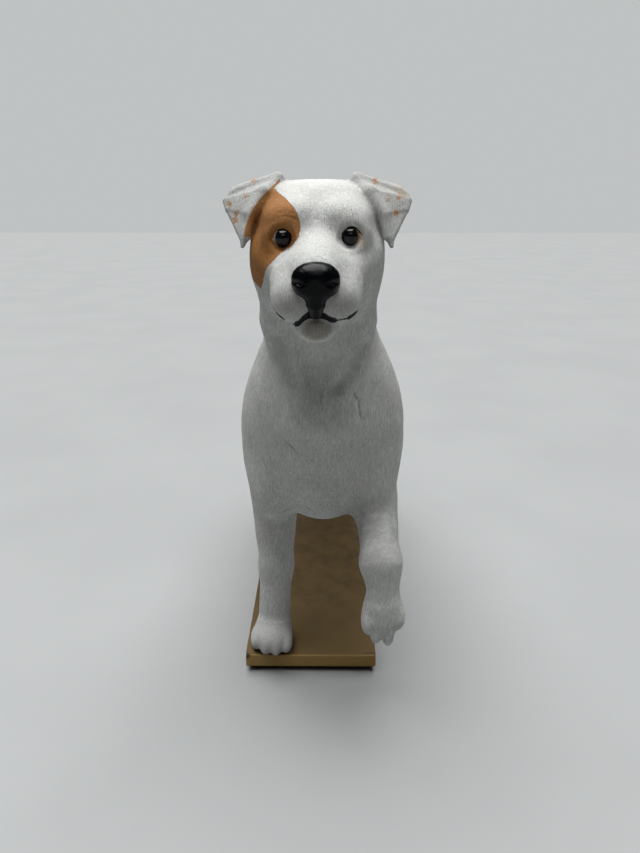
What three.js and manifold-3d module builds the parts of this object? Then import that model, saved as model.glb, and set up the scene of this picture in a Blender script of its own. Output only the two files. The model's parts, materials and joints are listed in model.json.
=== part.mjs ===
// A standing dog, hand modelled in clay over a wire and foil armature, painted matt,
// and pinned through its paws to a felt-backed wooden board.
// Millimetres, +Z up, the dog faces -Y. The origin is the centre of the underside.
// The dog's own frame has z = 0 at its soles and x = 0 on its body's middle plane.
import * as THREE from "three";
import { mergeVertices } from "three/addons/utils/BufferGeometryUtils.js";
import Module from "manifold-3d";

const wasm = await Module();
wasm.setup();

// ---- driving dimensions ----
const BOARD = { length: 130, width: 43.6, thickness: 4.8, eased: 0.6 };
const FELT = { thickness: 2, inset: 2 };
const DOG_X = 3.8; // the dog stands off the board's centre line
const HEAD_X = -1.3; // the head leans back towards it
const GAP = 0.3; // left between touching pieces

const BACK = 88; // height of the spine wire inside the back
const WIRE = 0.8; // radius of the armature wire
const WIRE_PITCH = 2.05; // between wires lying side by side
const BINDING = { wire: 0.4, turns: 4, pitch: 1.1, across: 3.65, high: 1.95 };
const BINDING_ROOM = 4.4; // radius of the hollow round a binding
const SHOULDER_BINDING_Y = -36;
const HIP_BINDING_Y = 24;

const FORE_X = 16; // half the track of the front legs
const HIND_X = 13.5; // half the track of the rear legs
const EYE = { x: 7.65, y: -87.6, z: 135.1, radius: 2.4 };
const NOSE = { y: -105.2, z: 128.3 };
const EAR = {
  thickness: 2.2,
  steps: 26, // points round the flap
  foldY: -72.4,
  fold: { x: 10, z: 149.6, slope: 0.44 }, // the fold's inner end, and its fall outwards
  lean: 0.8, // how far the flap comes forward as it drops
  outline: [
    [8.4, 148.2],
    [10.6, 149.8],
    [16, 147.9],
    [21.4, 145.4],
    [23.6, 142.6],
    [22.6, 139.2],
    [19.6, 134.4],
    [17.8, 133.2],
    [16.6, 134.8],
    [15.6, 139],
    [13, 143.6],
    [9.8, 146.8],
  ],
};

const AROUND = 10; // facets round a modelled lump
const FINE = 16; // round a big smooth one
const COARSE = 8; // round a small one
const WIRE_SIDES = 6;

// ---- solids ----
function solid(geometry) {
  const bare = new THREE.BufferGeometry();
  bare.setAttribute("position", geometry.attributes.position.clone());
  if (geometry.index) bare.setIndex(geometry.index.clone());
  const merged = mergeVertices(bare, 1e-4);
  const corners = merged.index.array;
  const kept = [];
  for (let i = 0; i < corners.length; i += 3) {
    const [a, b, c] = corners.slice(i, i + 3);
    if (a !== b && b !== c && c !== a) kept.push(a, b, c);
  }
  return new wasm.Manifold(
    new wasm.Mesh({
      numProp: 3,
      vertProperties: new Float32Array(merged.attributes.position.array),
      triVerts: new Uint32Array(kept),
    }),
  );
}

function join(solids) {
  return solids.reduce((sum, next) => sum.add(next));
}

function cut(body, solids) {
  return solids.reduce((rest, next) => rest.subtract(next), body);
}

// the largest lump, for a cut that leaves crumbs behind
function largest(body) {
  return body.decompose().reduce((best, next) => (next.volume() > best.volume() ? next : best));
}

// an egg: centre, half sizes and tilt in degrees about X, Y and Z
function egg(centre, radii, tilt = [0, 0, 0], around = AROUND) {
  return (grow) => {
    const geometry = new THREE.SphereGeometry(1, around, Math.round(around * 0.6));
    geometry.scale(radii[0] + grow, radii[1] + grow, radii[2] + grow);
    const turn = new THREE.Euler(...tilt.map(THREE.MathUtils.degToRad), "ZYX");
    geometry.applyQuaternion(new THREE.Quaternion().setFromEuler(turn));
    geometry.translate(...centre);
    return solid(geometry);
  };
}

// a tapered roll of clay with round ends
function roll(from, fromRadius, to, toRadius, around = AROUND) {
  return (grow) => {
    const start = new THREE.Vector3(...from);
    const along = new THREE.Vector3(...to).sub(start);
    const length = along.length();
    const lean = Math.asin((fromRadius - toRadius) / length);
    const ends = [
      [fromRadius + grow, 0, -Math.PI / 2, lean],
      [toRadius + grow, length, lean, Math.PI / 2],
    ];
    const profile = [];
    for (const [radius, height, first, last] of ends) {
      const steps = Math.max(2, Math.round(((last - first) / Math.PI) * around * 0.5));
      for (let i = 0; i <= steps; i++) {
        const angle = first + ((last - first) * i) / steps;
        const across = Math.max(0, radius * Math.cos(angle));
        const onAxis = Math.abs(Math.abs(angle) - Math.PI / 2) < 1e-6;
        profile.push(new THREE.Vector2(onAxis ? 0 : across, height + radius * Math.sin(angle)));
      }
    }
    const geometry = new THREE.LatheGeometry(profile, around);
    const up = new THREE.Vector3(0, 1, 0);
    geometry.applyQuaternion(new THREE.Quaternion().setFromUnitVectors(up, along.normalize()));
    geometry.translate(...from);
    return solid(geometry);
  };
}

// a round wire through a list of points
function wire(points, radius, steps) {
  return (grow) => {
    const places = points.map((p) => new THREE.Vector3(...p));
    const path = new THREE.CatmullRomCurve3(places, false, "centripetal");
    const section = new THREE.Shape();
    section.absarc(0, 0, radius + grow, 0, 2 * Math.PI);
    return solid(
      new THREE.ExtrudeGeometry(section, {
        steps,
        curveSegments: WIRE_SIDES / 2,
        bevelEnabled: false,
        extrudePath: path,
      }),
    );
  };
}

// several lumps pressed into one
function lumps(...makers) {
  return (grow = 0) => join(makers.map((make) => make(grow)));
}

// the same lump on both sides of the middle plane at x
function pair(make, x = 0) {
  return [1, -1].map((side) => make(side, (across) => x + side * across));
}

// ---- the clay lumps ----
const torso = lumps(
  egg([0, -31, 80], [21.2, 39, 29.5], [5, 0, 0], FINE), // ribcage
  egg([0, -56, 79], [18.5, 15, 25]), // breast
  roll([0, -62, 61], 8, [0, -38, 55], 9), // keel
  egg([0, 12, 86], [16, 34, 21]), // loin
  egg([0, 36, 89], [15, 20, 18]), // croup
  roll([0, -42, 99], 10, [0, -26, 99.5], 9), // withers
  ...pair((side, x) => egg([x(13.8), -52, 83], [9.8, 13, 24], [14, side * 4, 0])), // shoulders
  ...pair((side, x) => egg([x(15.3), -56, 64], [8.2, 10, 16], [-14, 0, 0])), // upper arms
  ...pair((side, x) => egg([x(11.5), 35, 81], [9.8, 18, 23], [-10, 0, 0])), // haunches
);

const neck = lumps(
  roll([HEAD_X, -67, 121], 15.2, [0, -50, 94], 18),
  roll([HEAD_X, -58, 127], 12.5, [0, -36, 98], 14),
);

const head = lumps(
  egg([HEAD_X, -70, 131.5], [15.2, 18, 15.8], [0, 0, 0], FINE), // skull
  ...pair((side, x) => egg([x(8.2), -71, 136.2], [7.9, 13, 10.2]), HEAD_X), // temples
  ...pair((side, x) => egg([x(10.2), -74, 124], [6.1, 11, 11]), HEAD_X), // cheeks
  ...pair((side, x) => egg([x(6.6), -84, 138.4], [5.4, 4.2, 3.6], [0, 0, 0], COARSE), HEAD_X), // brows
  egg([HEAD_X, -93, 125.3], [8.3, 13, 7.6]), // muzzle
  roll([HEAD_X, -84, 132], 5.8, [HEAD_X, -102, 128.9], 4), // bridge of the nose
  ...pair((side, x) => egg([x(4.6), -97.6, 123.2], [4.9, 8.2, 5.6], [6, 0, 0], COARSE), HEAD_X), // lips
);

const lowerJaw = lumps(
  roll([HEAD_X, -80, 117.5], 9, [HEAD_X, -97, 116], 5),
  egg([HEAD_X, -99.5, 116.4], [4.6, 4.2, 3.6]), // chin
);

const nose = lumps(
  egg([HEAD_X, NOSE.y, NOSE.z], [5, 3.8, 3.6], [-8, 0, 0]),
  roll([HEAD_X, NOSE.y - 0.4, NOSE.z - 2.3], 2.9, [HEAD_X, NOSE.y + 0.6, NOSE.z - 6.7], 1.6, COARSE),
);

function eyeball(side) {
  return egg([HEAD_X + side * EYE.x, EYE.y, EYE.z], Array(3).fill(EYE.radius));
}

// a strip of clay laid round the eye: side is 1 or -1, lift is up or down
function eyelid(side, lift) {
  return (grow) => {
    const centre = [HEAD_X + side * EYE.x, EYE.y, EYE.z];
    const outer = egg(centre, [4.1, 3.1, 3.3])(grow);
    const hollow = egg(centre, [2.8, 4.6, 2.1], [0, side * 12, 0])(-grow);
    const mask = new THREE.BoxGeometry(12, 12, 6);
    mask.translate(centre[0], centre[1], centre[2] + lift * (3 + GAP / 2));
    return outer.subtract(hollow).intersect(solid(mask));
  };
}

// a flap of rolled clay, folded forward over a thick root: side is 1 or -1
function ear(side) {
  return (grow) => {
    const edge = new THREE.SplineCurve(EAR.outline.map(([x, z]) => new THREE.Vector2(side * x, z)));
    const geometry = new THREE.ExtrudeGeometry(new THREE.Shape(edge.getPoints(EAR.steps)), {
      depth: EAR.thickness + 2 * grow,
      steps: 1,
      bevelEnabled: false,
    });
    geometry.rotateX(Math.PI / 2);
    geometry.translate(HEAD_X, EAR.foldY + grow, 0);
    const place = geometry.attributes.position;
    for (let i = 0; i < place.count; i++) {
      const outward = Math.abs(place.getX(i) - HEAD_X) - EAR.fold.x;
      const drop = EAR.fold.z - EAR.fold.slope * outward - place.getZ(i);
      place.setY(i, place.getY(i) - EAR.lean * Math.max(0, drop));
    }
    const root = roll(
      [HEAD_X + side * 9, EAR.foldY + 1.6, 146.6],
      2.2,
      [HEAD_X + side * 17.5, EAR.foldY + 0.6, 143.6],
      1.9,
      COARSE,
    );
    return solid(geometry).add(root(grow));
  };
}

// four toes in a row, the outer two set back
const TOES = [-4.9, -1.7, 1.7, 4.9];
function standingPaw(x, y) {
  return lumps(
    egg([x, y + 9, 4.6], [6.6, 8.4, 4.6]),
    ...TOES.map((across) => {
      const back = Math.abs(across) > 3 ? 5.2 : 3.6;
      return egg([x + across, y + back, 3.2], [2.1, 4, 3.2], [0, 0, 0], 6);
    }),
  );
}

const hangingPaw = lumps(
  egg([17.6, -79.8, 26.4], [6.5, 5.2, 7.2]),
  ...TOES.map((across) => {
    const up = Math.abs(across) > 3 ? 1.8 : 0;
    return egg([17.4 + across * 0.95, -81.4, 21.2 + up], [2, 3, 3.6], [0, 0, 0], 6);
  }),
);

function rearLeg(side) {
  return lumps(
    roll([side * 12.5, 33, 77], 11.5, [side * 14.2, 25, 60], 8.8),
    roll([side * 14.2, 26, 60], 8.6, [side * HIND_X, 56, 31], 4.5),
    roll([side * HIND_X, 57, 31], 4.7, [side * HIND_X, 54.5, 9], 4.8),
  );
}

const legs = {
  front_right: lumps(
    roll([-FORE_X, -50, 54], 8, [-FORE_X, -53, 27], 5.5),
    roll([-FORE_X, -53, 27], 5.5, [-FORE_X - 0.8, -55.5, 9], 5.3),
  ),
  front_left: lumps(
    roll([17, -48, 55], 7.4, [17.1, -77, 43.4], 6),
    roll([17.1, -77.8, 42.8], 5.9, [17.6, -79.4, 33], 5),
  ),
  rear_right: rearLeg(-1),
  rear_left: rearLeg(1),
};

const paws = {
  front_right: standingPaw(-FORE_X - 1.3, -65.6),
  front_left: hangingPaw,
  rear_right: standingPaw(-HIND_X - 0.3, 41),
  rear_left: standingPaw(HIND_X + 0.3, 41),
};

const TAIL = [
  [50, 98, 5.5],
  [62, 91, 4.3],
  [74, 86, 3.2],
  [85, 85, 2.3],
  [94, 88, 1.5],
];
const tail = lumps(
  ...TAIL.slice(1).map(([y, z, radius], i) => {
    const [beforeY, beforeZ, beforeRadius] = TAIL[i];
    return roll([0, beforeY, beforeZ], beforeRadius, [0, y, z], radius, COARSE);
  }),
);

// ---- the armature ----
const torsoCore = lumps(roll([0, -42, 82], 12.5, [0, 26, 87], 9));
const headCore = lumps(egg([HEAD_X, -70, 130], [9, 10.5, 9]));
const PIN_FOOT = -BOARD.thickness;

const wires = {
  spine_wire: wire(
    [
      [HEAD_X, -90, 125],
      [HEAD_X, -74, 127],
      [HEAD_X * 0.7, -63, 113],
      [0, -52, 94],
      [0, -44, BACK],
      [0, -30, BACK],
      [0, 0, BACK],
      [0, 34, BACK],
      [0, 46, 94],
      [0, 58, 93.2],
      [0, 70, 87.6],
      [0, 83, 85],
    ],
    WIRE,
    26,
  ),
  front_right_leg_wire: wire(
    [
      [-FORE_X - 0.6, -55, PIN_FOOT],
      [-FORE_X - 0.6, -55, 6],
      [-FORE_X, -53, 24],
      [-FORE_X, -51, 46],
      [-12.6, -49, 64],
      [-6, -47, 80],
      [-2.6, -43.6, BACK - 1],
      [-WIRE_PITCH, -40, BACK],
      [-WIRE_PITCH, -32, BACK],
    ],
    WIRE,
    15,
  ),
  front_left_leg_wire: wire(
    [
      [17.6, -79.6, 22],
      [17.4, -79, 31],
      [17, -77.4, 40],
      [17, -73, 44.6],
      [17, -60, 49.6],
      [15.4, -52, 56],
      [11, -49, 68],
      [6, -47, 80],
      [2.6, -43.6, BACK - 1],
      [WIRE_PITCH, -40, BACK],
      [WIRE_PITCH, -32, BACK],
    ],
    WIRE,
    20,
  ),
  ...Object.fromEntries(
    [
      ["rear_right_leg_wire", -1],
      ["rear_left_leg_wire", 1],
    ].map(([name, side]) => [
      name,
      wire(
        [
          [side * HIND_X, 54.5, PIN_FOOT],
          [side * HIND_X, 54.5, 8],
          [side * HIND_X, 56.8, 28],
          [side * (HIND_X + 0.1), 53, 34.5],
          [side * 14.2, 34, 52],
          [side * 13.6, 28.4, 62],
          [side * 9, 31, 76],
          [side * 3, 30.4, BACK - 1],
          [side * WIRE_PITCH, 27, BACK],
          [side * WIRE_PITCH, 19.6, BACK],
        ],
        WIRE,
        16,
      ),
    ]),
  ),
};

// a thin wire wound round the spine wire and the two leg wires beside it
function binding(y) {
  const perTurn = 8;
  const points = [];
  for (let i = 0; i <= BINDING.turns * perTurn; i++) {
    const angle = (2 * Math.PI * i) / perTurn;
    const along = y + BINDING.pitch * (i / perTurn - BINDING.turns / 2);
    points.push([
      BINDING.across * Math.cos(angle),
      along,
      BACK + BINDING.high * Math.sin(angle),
    ]);
  }
  return wire(points, BINDING.wire, BINDING.turns * perTurn);
}

function bindingRoom(y) {
  return roll([0, y - 2.5, BACK], BINDING_ROOM, [0, y + 2.5, BACK], BINDING_ROOM, COARSE);
}

// ---- the board and its felt ----
function boardBody() {
  const half = new THREE.Vector2(BOARD.length / 2 - BOARD.eased, BOARD.width / 2 - BOARD.eased);
  const outline = new THREE.Shape([
    new THREE.Vector2(-half.y, -half.x),
    new THREE.Vector2(half.y, -half.x),
    new THREE.Vector2(half.y, half.x),
    new THREE.Vector2(-half.y, half.x),
  ]);
  const geometry = new THREE.ExtrudeGeometry(outline, {
    depth: BOARD.thickness - 2 * BOARD.eased,
    bevelThickness: BOARD.eased,
    bevelSize: BOARD.eased,
    bevelSegments: 2,
  });
  geometry.translate(-DOG_X, 0, BOARD.eased - BOARD.thickness);
  return solid(geometry);
}

function feltBody() {
  const geometry = new THREE.BoxGeometry(
    BOARD.width - 2 * FELT.inset,
    BOARD.length - 2 * FELT.inset,
    FELT.thickness,
  );
  geometry.translate(-DOG_X, 0, -BOARD.thickness - FELT.thickness / 2);
  return solid(geometry);
}

// ---- finishes ----
const finish = (color, roughness, metalness = 0) => ({ color, roughness, metalness });
const WHITE_CLAY = finish(0xdcdcd6, 0.85);
const BROWN_CLAY = finish(0x9b6a40, 0.85);
const BLACK_CLAY = finish(0x15161a, 0.45);
const EYE_GLOSS = finish(0x050505, 0.1);
const BOARD_WOOD = finish(0x6b5434, 0.8);
const FELT_CLOTH = finish(0x2c2318, 1);
const STEEL = finish(0x9a9a98, 0.4, 1);
const FOIL = finish(0xc4c6c8, 0.35, 1);

const dog = new THREE.Group();
dog.position.set(DOG_X, 0, BOARD.thickness + FELT.thickness);

function add(name, body, look) {
  const { numProp, vertProperties, triVerts } = largest(body).getMesh();
  const places = new Float32Array((vertProperties.length / numProp) * 3);
  for (let i = 0; i < places.length / 3; i++) {
    places.set(vertProperties.subarray(i * numProp, i * numProp + 3), i * 3);
  }
  const geometry = new THREE.BufferGeometry();
  geometry.setAttribute("position", new THREE.BufferAttribute(places, 3));
  geometry.setIndex(new THREE.BufferAttribute(new Uint32Array(triVerts), 1));
  const mesh = new THREE.Mesh(geometry, new THREE.MeshStandardMaterial(look));
  mesh.name = name;
  dog.add(mesh);
}

// ---- assembly: each piece gives way to the ones already laid under it ----
const channels = Object.values(wires).map((make) => make(GAP));
const cores = [torsoCore(GAP), headCore(GAP)];
const inside = [...channels, ...cores];
const eyes = [-1, 1].map((side) => eyeball(side));

add("felt_pad", feltBody(), FELT_CLOTH);
add("base_board", cut(boardBody(), channels), BOARD_WOOD);

for (const [name, make] of Object.entries(wires)) add(name, make(0), STEEL);
const rooms = [SHOULDER_BINDING_Y, HIP_BINDING_Y].map(bindingRoom);
add("shoulder_binding_wire", binding(SHOULDER_BINDING_Y)(0), STEEL);
add("hip_binding_wire", binding(HIP_BINDING_Y)(0), STEEL);
const hollows = [...channels, ...rooms.map((make) => make(0))];
add("torso_core", cut(torsoCore(0), hollows), FOIL);
add("head_core", cut(headCore(0), channels), FOIL);

add("torso", cut(torso(0), inside), WHITE_CLAY);
add("head", cut(head(0), [...inside, ...eyes.map((make) => make(GAP))]), WHITE_CLAY);
add("neck", cut(neck(0), [torso(GAP), head(GAP), ...inside]), WHITE_CLAY);
add("lower_jaw", cut(lowerJaw(0), [head(GAP), neck(GAP), torso(GAP)]), WHITE_CLAY);
add("nose", cut(nose(0), [head(GAP)]), BLACK_CLAY);

[
  ["right", -1],
  ["left", 1],
].forEach(([name, side], i) => {
  add(`${name}_eye`, eyes[i](0), EYE_GLOSS);
  const skin = side < 0 ? BROWN_CLAY : WHITE_CLAY;
  const beside = [head(GAP), eyes[i](GAP)];
  add(`${name}_upper_eyelid`, cut(eyelid(side, 1)(0), beside), skin);
  add(`${name}_lower_eyelid`, cut(eyelid(side, -1)(0), beside), skin);
  add(`${name}_ear`, cut(ear(side)(0), [head(GAP)]), WHITE_CLAY);
});

for (const name of Object.keys(legs)) {
  add(`${name}_leg`, cut(legs[name](0), [torso(GAP), paws[name](GAP), ...channels]), WHITE_CLAY);
  add(`${name}_paw`, cut(paws[name](0), channels), WHITE_CLAY);
}
add("tail", cut(tail(0), [torso(GAP), ...channels]), WHITE_CLAY);

export default dog;
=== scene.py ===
"""A hand-modelled, matt-painted clay dog on a felt-backed board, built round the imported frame.

The clay is modelled in the dog's own millimetres: x from the body's middle plane, y along the
board with the nose at -y, z up from the soles. Each clay piece starts as lumps pressed together,
is remeshed, and is then smoothed by moving its points onto one skin that all the lumps share.
"""

import json
import math

import bmesh
import bpy
import numpy as np
from mathutils import Euler, Matrix, Vector, noise


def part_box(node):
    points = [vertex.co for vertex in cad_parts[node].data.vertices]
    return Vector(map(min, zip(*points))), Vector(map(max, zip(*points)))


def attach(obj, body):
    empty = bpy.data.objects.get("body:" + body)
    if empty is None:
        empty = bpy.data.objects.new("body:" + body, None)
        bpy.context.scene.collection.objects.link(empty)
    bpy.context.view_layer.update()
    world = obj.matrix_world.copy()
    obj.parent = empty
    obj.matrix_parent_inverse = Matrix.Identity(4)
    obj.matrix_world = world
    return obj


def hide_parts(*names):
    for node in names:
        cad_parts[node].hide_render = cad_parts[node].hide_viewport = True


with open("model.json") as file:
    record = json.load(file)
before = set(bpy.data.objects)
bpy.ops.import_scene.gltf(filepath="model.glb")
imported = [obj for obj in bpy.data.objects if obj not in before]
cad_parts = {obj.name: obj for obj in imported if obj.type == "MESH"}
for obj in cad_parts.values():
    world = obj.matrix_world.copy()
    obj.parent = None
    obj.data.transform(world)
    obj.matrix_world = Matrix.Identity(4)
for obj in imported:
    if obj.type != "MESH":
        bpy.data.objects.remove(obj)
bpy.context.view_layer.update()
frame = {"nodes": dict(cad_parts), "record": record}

MM = 0.001


# ---- places taken from the frame ----
def corners(node):
    low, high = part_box(node)
    return np.array(low) / MM, np.array(high) / MM


BOARD_LOW, BOARD_HIGH = corners("base_board")
FELT_LOW, FELT_HIGH = corners("felt_pad")
TORSO_LOW, TORSO_HIGH = corners("torso")
ORIGIN = np.array([(TORSO_LOW[0] + TORSO_HIGH[0]) / 2, 0, BOARD_HIGH[2]])


def middle(node):
    low, high = corners(node)
    return (low + high) / 2 - ORIGIN


def front_of(node):
    return corners(node)[0][1] - ORIGIN[1]


HEAD_X = middle("nose")[0]
# the eyes sit a little lower and higher than in the frame
EYES = {-1: middle("right_eye") - (0, 0, 0.15), 1: middle("left_eye") + (0, 0, 0.25)}
EYE_RADIUS = 2.35
FORE_TOES = front_of("front_right_paw")
HIND_TOES = front_of("rear_right_paw")
FORE_X = middle("front_right_paw")[0]
HIND_X = middle("rear_left_paw")[0]


# ---- lumps of clay ----
def soft_min(a, b, soft):
    meet = np.maximum(soft - np.abs(a - b), 0) / soft
    return np.minimum(a, b) - meet * meet * soft / 4


def soft_max(a, b, soft):
    return -soft_min(-a, -b, soft)


class Egg:
    """A lump with three half sizes, tilted in degrees about X, Y and Z."""

    def __init__(self, centre, radii, tilt=(0, 0, 0), soft=4, carve=False):
        self.centre = np.array(centre, np.float32)
        self.radii = np.array(radii, np.float32)
        turn = Euler([math.radians(t) for t in tilt], "XYZ").to_matrix()
        self.turn = np.array(turn, np.float32)
        self.soft = soft
        self.carve = carve

    def distance(self, points):
        local = (points - self.centre) @ self.turn
        unit = np.linalg.norm(local / self.radii, axis=1)
        slope = np.linalg.norm(local / (self.radii * self.radii), axis=1)
        return unit * (unit - 1) / np.maximum(slope, 1e-6)

    def seed(self, clay):
        place = Matrix.Translation(self.centre) @ Matrix(self.turn).to_4x4()
        place = place @ Matrix.Diagonal((*self.radii, 1))
        bmesh.ops.create_icosphere(clay, subdivisions=4, radius=1, matrix=place)


class Roll:
    """A tapered roll with round ends."""

    def __init__(self, start, start_radius, end, end_radius, soft=4, carve=False):
        self.start = np.array(start, np.float32)
        self.end = np.array(end, np.float32)
        self.radii = (start_radius, end_radius)
        self.soft = soft
        self.carve = carve

    def distance(self, points):
        along = self.end - self.start
        way = np.clip((points - self.start) @ along / (along @ along), 0, 1)
        near = points - self.start - way[:, None] * along
        first, last = self.radii
        return np.linalg.norm(near, axis=1) - (first + (last - first) * way)

    def seed(self, clay):
        stretch_round(clay, zip((self.start, self.end), self.radii))


class Slab:
    """A rounded three-cornered slab of one thickness."""

    def __init__(self, a, b, c, radius):
        self.corners = [np.array(corner, np.float32) for corner in (a, b, c)]
        self.radius = radius

    def distance(self, points):
        a, b, c = self.corners
        normal = np.cross(b - a, c - a)
        normal /= np.linalg.norm(normal)
        inside = np.ones(len(points), bool)
        edges = []
        for start, end in ((a, b), (b, c), (c, a)):
            along = end - start
            inside &= (points - start) @ np.cross(normal, along) >= 0
            way = np.clip((points - start) @ along / (along @ along), 0, 1)
            edges.append(np.linalg.norm(points - start - way[:, None] * along, axis=1))
        rim = np.minimum.reduce(edges)
        return np.where(inside, np.abs((points - a) @ normal), rim) - self.radius

    def seed(self, clay):
        stretch_round(clay, [(corner, self.radius) for corner in self.corners])


class Joined:
    """Rolls or slabs that run on into each other without swelling where they meet."""

    def __init__(self, parts, soft, carve=False):
        self.parts = parts
        self.soft = soft
        self.carve = carve

    def distance(self, points):
        return np.minimum.reduce([part.distance(points) for part in self.parts])

    def seed(self, clay):
        for part in self.parts:
            part.seed(clay)


def string(stops, soft, carve=False):
    """A roll through stops, each an (x, y, z, radius)."""
    rolls = [Roll(a[:3], a[3], b[:3], b[3]) for a, b in zip(stops, stops[1:])]
    return Joined(rolls, soft, carve)


def stretch_round(clay, balls):
    """Adds one skin stretched round balls, each a centre and a radius."""
    part = bmesh.new()
    for centre, radius in balls:
        place = Matrix.Translation(centre)
        bmesh.ops.create_icosphere(part, subdivisions=3, radius=radius, matrix=place)
    bmesh.ops.delete(part, geom=part.edges[:], context="EDGES_FACES")
    bmesh.ops.convex_hull(part, input=part.verts[:])
    covered = [vert for vert in part.verts if not vert.link_faces]
    bmesh.ops.delete(part, geom=covered, context="VERTS")
    mesh = bpy.data.meshes.new("stretched")
    part.to_mesh(mesh)
    part.free()
    clay.from_mesh(mesh)
    bpy.data.meshes.remove(mesh)


class Stroke:
    """A groove pressed along a line of points; a negative depth is a raised ridge.

    Reach says how far off the line in y it still marks the clay, as a multiple of its width.
    """

    SPREAD = 2.6  # in widths, past which a groove leaves no mark

    def __init__(self, points, width, depth, reach=1):
        self.squeeze = np.array((1, 1 / reach, 1), np.float32)
        points = [np.array(point) * self.squeeze for point in points]
        self.line = Joined([Roll(a, 0, b, 0) for a, b in zip(points, points[1:])], 0)
        self.low = np.min(points, axis=0) - self.SPREAD * width
        self.high = np.max(points, axis=0) + self.SPREAD * width
        self.width = width
        self.depth = depth

    def press(self, skin, points):
        points = points * self.squeeze
        close = np.all((points > self.low) & (points < self.high), axis=1)
        if close.any():
            far = self.line.distance(points[close]) / self.width
            skin[close] += self.depth * np.exp(-far * far)


def both(make, middle_x=0.0):
    """The same lump on both sides of a middle plane."""
    return [make(side, lambda across, side=side: middle_x + side * across) for side in (-1, 1)]


# ---- the dog's shape ----
TORSO = [
    Egg((0, -31, 80), (21.2, 39, 29.5), (5, 0, 0)),
    Egg((0, -57, 80), (18.5, 16, 24), soft=10),
    Roll((0, -58, 60), 8, (0, -38, 55), 9, soft=9),
    Egg((0.6, -56, 60), (13.5, 14, 10.6), soft=6),
    Egg((0, 12, 86), (16, 34, 21), soft=12),
    Egg((0, 36, 89), (15, 20, 18), soft=10),
    Roll((0, -42, 99), 10, (0, -26, 99.5), 9, soft=10),
    *both(lambda side, x: Egg((x(14.4), -53, 79.5), (10.5, 13, 22.5), (14, side * -5, 0), soft=6)),
    *both(lambda side, x: Egg((x(15.3), -56, 64), (8.2, 10, 16), (-14, 0, 0), soft=5)),
    *both(lambda side, x: Egg((x(11.5), 35, 81), (9.8, 18, 23), (-10, 0, 0), soft=8)),
]

NECK = [
    Roll((HEAD_X + 0.5, -67, 121), 13.8, (0, -50, 94), 17.6),
    Roll((HEAD_X, -58, 127), 12.5, (0, -36, 98), 14, soft=8),
    *both(lambda side, x: Roll((HEAD_X + side * 10.6, -71, 113), 4.6, (x(5.5), -71.5, 86), 4, soft=6)),
]

HEAD = [
    Egg((HEAD_X, -70, 132), (14.9, 18, 15.5)),
    *both(lambda side, x: Egg((x(8.1), -71, 136.8), (7.6, 13, 10.4), soft=5), HEAD_X),
    *both(lambda side, x: Egg((x(10.1), -74, 126), (6.1, 11, 9), soft=6), HEAD_X),
    Egg((HEAD_X, -76, 138), (11, 8.5, 9), soft=4),
    *both(lambda side, x: Egg((x(6.8), -84.4, 139.1), (5.2, 4.5, 3.6), soft=4), HEAD_X),
    *both(lambda side, x: Roll((x(11.2), -82, 131), 3.5, (x(6.5), -92, 126.5), 3.5, soft=5), HEAD_X),
    Egg((HEAD_X, -93, 125.3), (8.3, 13, 7.6), soft=5),
    Roll((HEAD_X, -84, 132), 5.8, (HEAD_X, -102, 128.4), 3.9, soft=4),
    *both(lambda side, x: Egg((x(5.2), -95, 122.4), (5, 8.2, 5.2), soft=3), HEAD_X),
    *both(lambda side, x: Egg((x(4.3), -99.6, 122.9), (4.4, 6, 4.7), soft=2), HEAD_X),
    *[Egg(EYES[side] + (side * 0.3, 1, 0), (4.2, 3.2, 3.6), soft=3) for side in (-1, 1)],
    *[Egg(EYES[side] + (side * 0.3, -2.4, 0), (2.9, 3.8, 2.7), soft=1, carve=True) for side in (-1, 1)],
]

JAW = [
    Roll((HEAD_X, -79, 118.8), 8, (HEAD_X, -93, 118), 5),
    *both(lambda side, x: Roll((x(7), -84, 120), 3.6, (x(2), -98.6, 117), 3, soft=3), HEAD_X),
    Egg((HEAD_X, -99.6, 116.9), (3.9, 4.3, 3.6), soft=2),
]

NOSE_CLAY = [
    Egg((HEAD_X, -104.8, 127.9), (5.1, 3.9, 3.35)),
    *both(lambda side, x: Egg((x(2.3), -105.1, 126.1), (2.4, 3.3, 2.2), soft=1.5), HEAD_X),
    string(
        [(HEAD_X, -105.2, 125, 2.8), (HEAD_X, -104.8, 122.8, 2.2), (HEAD_X, -103.6, 120.6, 1.6)],
        soft=1.2,
    ),
    *both(
        lambda side, x: string(
            [(x(2.9), -108.6, 126.9, 0.45), (x(4.0), -107.5, 127.3, 0.36), (x(4.9), -105.6, 126.9, 0.2)],
            soft=0.5,
            carve=True,
        ),
        HEAD_X,
    ),
]

LID_HALF_WIDTH = 2.5
LID_RISE = 2.4
LID_THICKNESS = 0.28
EYE_TURN = math.radians(12)  # the eyes look a little outwards


def eyelid(side, upward):
    """A thin string of clay over or under one eyeball, from the inner corner to the outer."""
    stops = []
    for degrees in range(-84, 85, 21):
        turn = math.radians(degrees)
        across = LID_HALF_WIDTH * math.sin(turn)
        rise = upward * LID_RISE * math.cos(turn)
        ahead = math.sqrt((EYE_RADIUS + 0.3) ** 2 - across**2 - rise**2)
        out = across * math.cos(EYE_TURN) + ahead * math.sin(EYE_TURN)
        back = across * math.sin(EYE_TURN) - ahead * math.cos(EYE_TURN)
        thin = LID_THICKNESS * (0.65 + 0.35 * math.cos(turn))
        stops.append((*(EYES[side] + (side * out, back, rise)), thin))
    return [string(stops, soft=1)]


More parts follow.
